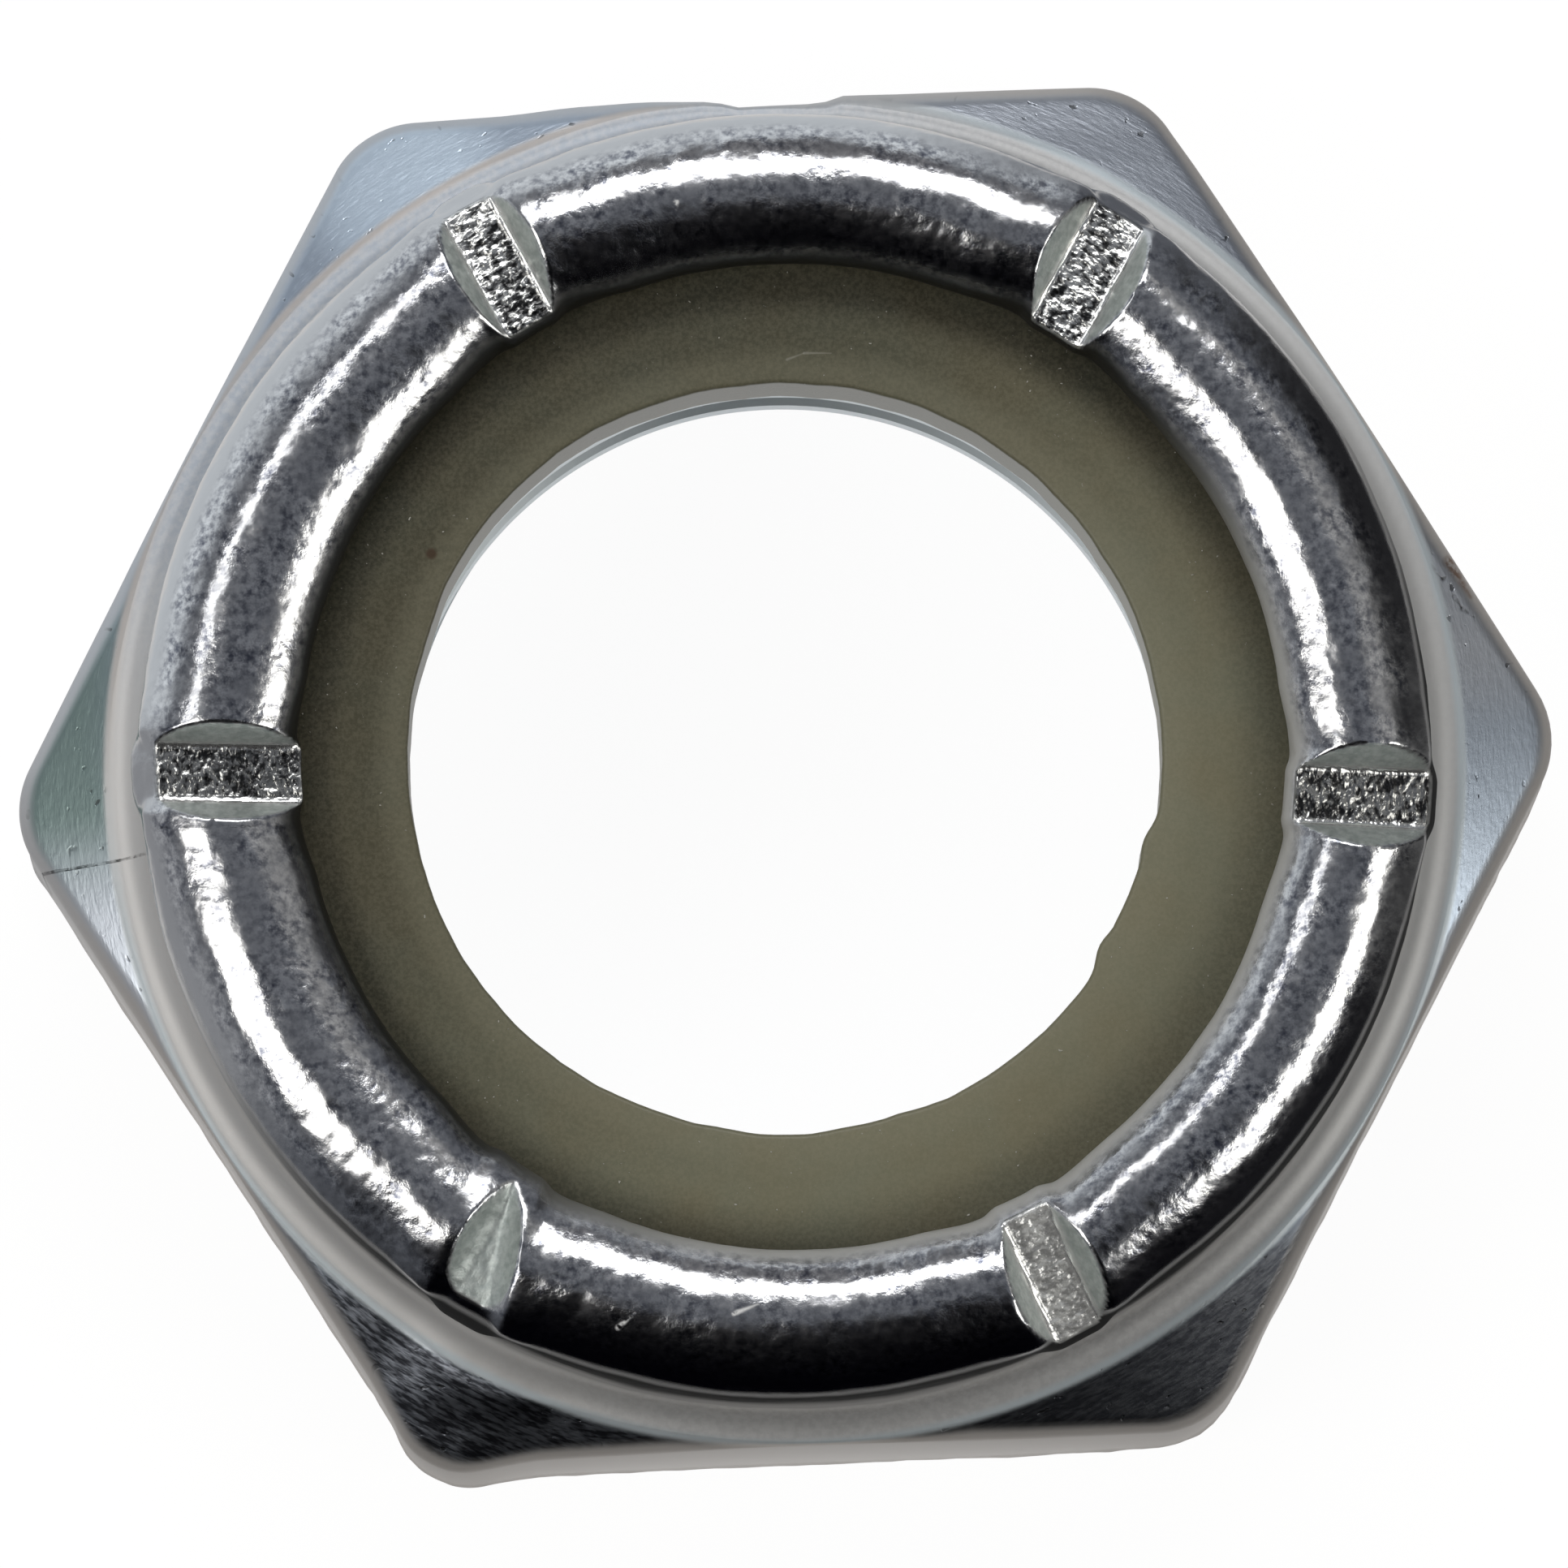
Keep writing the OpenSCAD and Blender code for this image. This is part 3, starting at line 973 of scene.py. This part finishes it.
frost = dent * (1 - floor) * (1 - highlight_crease_line)
uneven = plate.step(patchy, 0.35, 0.65)
relief = collar * (1 - dent) * (peel * 0.014 + mottle * (0.002 + 0.005 * uneven))
relief = relief + floor * (grit * 0.040 + speck * 0.020) + frost * mottle * 0.010
relief = relief + (1 - collar) * satin * 0.002 + chamfer * streak * 0.004 - pits * 0.006
relief = relief - scratch * 0.002
bump = plate.node("ShaderNodeBump", {}, Height=relief, Distance=MM, Strength=1.0)
print("grains feed one bump node")

# %% [markdown]
# Clear zinc plating is hardly coloured, but its thin skin shows faint tints that change with its
# thickness: blue grey on the chamfers, green at the left corner, and a warmer grey on the collar's
# foot and along the hexagon's rim. Much of the rest is painted light and shade. The corners of the
# chamfers are painted lighter or darker as light falls on them, the upper left one pale blue, a
# painted reflection of the pale cloth on that side. The foot is painted lighter at the lower left and
# the right, and blue grey on the far left, a painted reflection too. A pale blue line of painted
# highlight runs round the hexagon's shoulder, warmer on the far left. The chamfers in front are
# painted dark, a painted shade, and so is the collar's wall there, which is matt. The foot is so matt
# that it hardly shines, and so is the lip's edge in front. The lip's edge is painted near black, a
# painted shade, and matt grey in front at the lower right, a painted light. The floors of the marks at
# the left and right are painted darker, a painted shade, and the floor of the one at the lower right
# is worn dull. The edges of the grainy floors carry a painted highlight.

# %% Tint and polish the plating
def facing(azimuth, outer, inner):
    """1 on the side of the nut that faces an azimuth of the picture, 0 beyond an angle from it."""
    way = tent_direction(azimuth, 90)
    turned = (x * way.x + y * way.y) / off_axis
    return plate.step(turned, math.cos(math.radians(outer)), math.cos(math.radians(inner)))


left_corner = plate.step(0 - x, 8.2, 9.9)
in_front = plate.step(0 - y, 4.5, 7.5)
far_right = plate.step((x + y) / off_axis, 0.85, 1.3)
far_left = facing(135, 70, 20)
# Painted shade: the chamfers in front are painted dark, a little lighter on the left, with darker streaks.
front_light = plate.blend(plate.step(x, -5.0, 5.0), (0.31, 0.33, 0.37), (0.09, 0.095, 0.105))
painted_front_shade = plate.blend(plate.step(streak, 0.36, 0.66), (0.05, 0.053, 0.062), front_light)
# Painted light and reflection: the corners are painted lighter or darker as light falls on them, and the
# upper left one pale blue, a painted reflection of the pale cloth; the left corner's green is the plating's.
chamfer_tint = plate.layers((0.47, 0.54, 0.63), [
    (left_corner, (0.29, 0.38, 0.36)),
    (facing(123, 10, 3), (0.70, 0.81, 0.92)),
    (facing(203, 20, 8), (0.62, 0.66, 0.72)),
    (far_right, (0.44, 0.47, 0.52)),
    (facing(20, 17, 8), (0.62, 0.65, 0.70)),
    (in_front, painted_front_shade),
])
# Painted light and reflection: the foot is painted lighter at the lower left and the right, and blue grey on
# the far left, a painted reflection of the pale cloth.
foot_tint = plate.layers((0.46, 0.46, 0.46), [
    (plate.step(z, 6.45, 6.75), (0.43, 0.42, 0.41)),
    (far_left, (0.40, 0.435, 0.485)),
    (facing(208, 55, 25), (0.60, 0.59, 0.58)),
    (facing(8, 62, 35), (0.56, 0.56, 0.555)),
    (plate.step(satin, 0.35, 0.65) * 0.4, (0.60, 0.60, 0.595)),
])
# Painted highlight: a pale blue line round the hexagon's shoulder, warmer on the far left.
shoulder_highlight = 1 - plate.step(((off_axis - 9.50) ** 2) ** 0.5, 0.0, 0.12)
shoulder_highlight_tint = plate.blend(far_left, (0.50, 0.57, 0.61), (0.52, 0.475, 0.44))
sink = bore * plate.step(z, 5.2, 5.35)
tint = plate.layers(foot_tint, [
    (chamfer, chamfer_tint),
    (shoulder_highlight * (1 - collar) * (1 - side) * 0.8, shoulder_highlight_tint),
    (side, plate.blend(far_left, (0.50, 0.475, 0.455), (0.50, 0.53, 0.57))),
    (bore, plate.blend(sink, (0.72, 0.77, 0.80), (0.92, 0.91, 0.89))),
    (scratch * 0.6, (0.10, 0.10, 0.10)),
    (rust * 0.8, (0.17, 0.085, 0.045)),
    (pits * 0.7, (0.06, 0.06, 0.06)),
])

spotted = plate.blend(plate.step(mottle, 0.26, 0.70), (0.14, 0.15, 0.19), (0.92, 0.92, 0.92))
lit_lip = facing(318, 92, 50)
# Painted shade: the floors of the marks at the left and right are painted darker.
shaded_floors = facing(0, 14, 8) + facing(181, 14, 8)
worn = facing(299, 14, 8) * floor
floor_tint = plate.layers((0.06, 0.06, 0.06), [
    (plate.step(speck + 0.2 * (uneven - 0.5), 0.36, 0.60), (0.88, 0.88, 0.85)),
    (shaded_floors * 0.5, (0.05, 0.05, 0.05)),
    (worn * 0.6, (0.80, 0.80, 0.78)),
])
crown_tint = plate.layers((0.63, 0.63, 0.635), [
    (top * (0.35 + 0.65 * uneven), spotted),
    # Painted shade and light: the lip's edge is painted near black, and matt grey at the lower right, where
    # it is lit.
    (lip, plate.blend(lit_lip, (0.07, 0.07, 0.07), (0.56, 0.56, 0.55))),
    (frost, plate.blend(plate.step(mottle, 0.3, 0.7), (0.36, 0.40, 0.385), (0.51, 0.55, 0.53))),
    (floor, floor_tint),
    # Painted highlight along the edges of the marks' grainy floors.
    (highlight_crease_line, (0.92, 0.92, 0.90)),
    (chip_glint, (0.85, 0.85, 0.84)),
])
# Painted shade: in front, the collar's wall and the crown's outer edge are matt and painted dark, near black
# at the top.
shaded = (plate.step(z, 6.58, 6.92) - plate.step(z, 8.85, 9.10)) * (1 - inside) * (1 - dent)
shaded = shaded * facing(300, 112, 65)
shaded_tint = plate.blend(plate.step(z, 7.0, 8.7), (0.28, 0.275, 0.27), (0.012, 0.012, 0.012))
colour = plate.layers(tint, [(collar, crown_tint), (shaded, shaded_tint)])

rough = 0.50 - 0.32 * bright - 0.16 * chamfer + 0.06 * floor + 0.24 * frost + 0.25 * lip
rough = rough + 0.08 * (satin - 0.5) + 0.6 * shaded
metal = 1 - 0.45 * bore - 0.35 * sink - 0.5 * foot - 0.6 * side - 0.45 * frost
metal = metal - 0.7 * lip * lit_lip - 0.8 * chip_glint - shaded - 0.4 * worn
sockets = {"Base Color": colour, "Metallic": metal, "Roughness": rough, "Normal": bump}
plate.node("ShaderNodeOutputMaterial", {}, plate.node("ShaderNodeBsdfPrincipled", {}, **sockets))
nut.data.materials.clear()
nut.data.materials.append(zinc)
print("zinc nodes:", len(plate.tree.nodes))

# %% [markdown]
# Natural nylon is olive grey. It varies softly and carries specks of dust and shavings. It is painted
# darker beside the lip and over the far left side, a painted shade, and paler at the hole's edge, a
# painted light.

# %% Colour the nylon
nylon, wax = new_finish("nylon")
place = place_mm(wax)
fuzz = wax.grain(place, 0.10, 3.0, 0.6)
dust = wax.step(wax.grain(place, 0.06, 1.0, 0.4), 0.74, 0.80)
dust = dust * wax.step(wax.grain(place, 0.9, 1.0, 0.5), 0.5, 0.6)
spot_place = (*to_nut(-4.93, 2.85), 8.47)
brown_spot = wax.node("ShaderNodeVectorMath", {"operation": "DISTANCE"}, place, spot_place, out=1)
x, y, _ = part_of(wax, place)
off_axis = (x * x + y * y) ** 0.5
behind = wax.step((y - x) / off_axis, -1.3, 1.3)
hazy = wax.step(wax.grain(place, 1.6, 3.0, 0.5), 0.3, 0.7)
nylon_shade = wax.blend(hazy, (0.036, 0.032, 0.016), (0.033, 0.033, 0.019))
hair = strokes(wax, x, y, [((0.03, 5.57), (0.27, 5.66)), ((0.27, 5.66), (0.65, 5.66))], 0.03)
colour = wax.layers((0.160, 0.148, 0.091), [
    (hazy, (0.155, 0.155, 0.103)),
    # Painted shade: darker over the far left side and beside the lip.
    (behind * 0.85 + 0.6 * wax.step(off_axis, 6.1, 6.9), nylon_shade),
    # Painted light: paler towards the hole's edge.
    ((1 - wax.step(off_axis, 5.4, 5.9)) * 0.3, (0.22, 0.21, 0.145)),
    (wax.step(wax.grain(place, 0.05, 2.0, 0.6), 0.3, 0.7) * 0.12, (0.34, 0.31, 0.22)),
    (dust + hair * 0.3, (0.40, 0.39, 0.34)),
    (1 - wax.step(brown_spot, 0.04, 0.11), (0.05, 0.03, 0.015)),
])
bump = wax.node("ShaderNodeBump", {}, Height=fuzz * 0.003 + dust * 0.01, Distance=MM, Strength=1.0)
sockets = {"Base Color": colour, "Roughness": 0.42, "Specular IOR Level": 0.35, "Normal": bump}
wax.node("ShaderNodeOutputMaterial", {}, wax.node("ShaderNodeBsdfPrincipled", {}, **sockets))
ring.data.materials.clear()
ring.data.materials.append(nylon)
print("nylon nodes:", len(wax.tree.nodes))
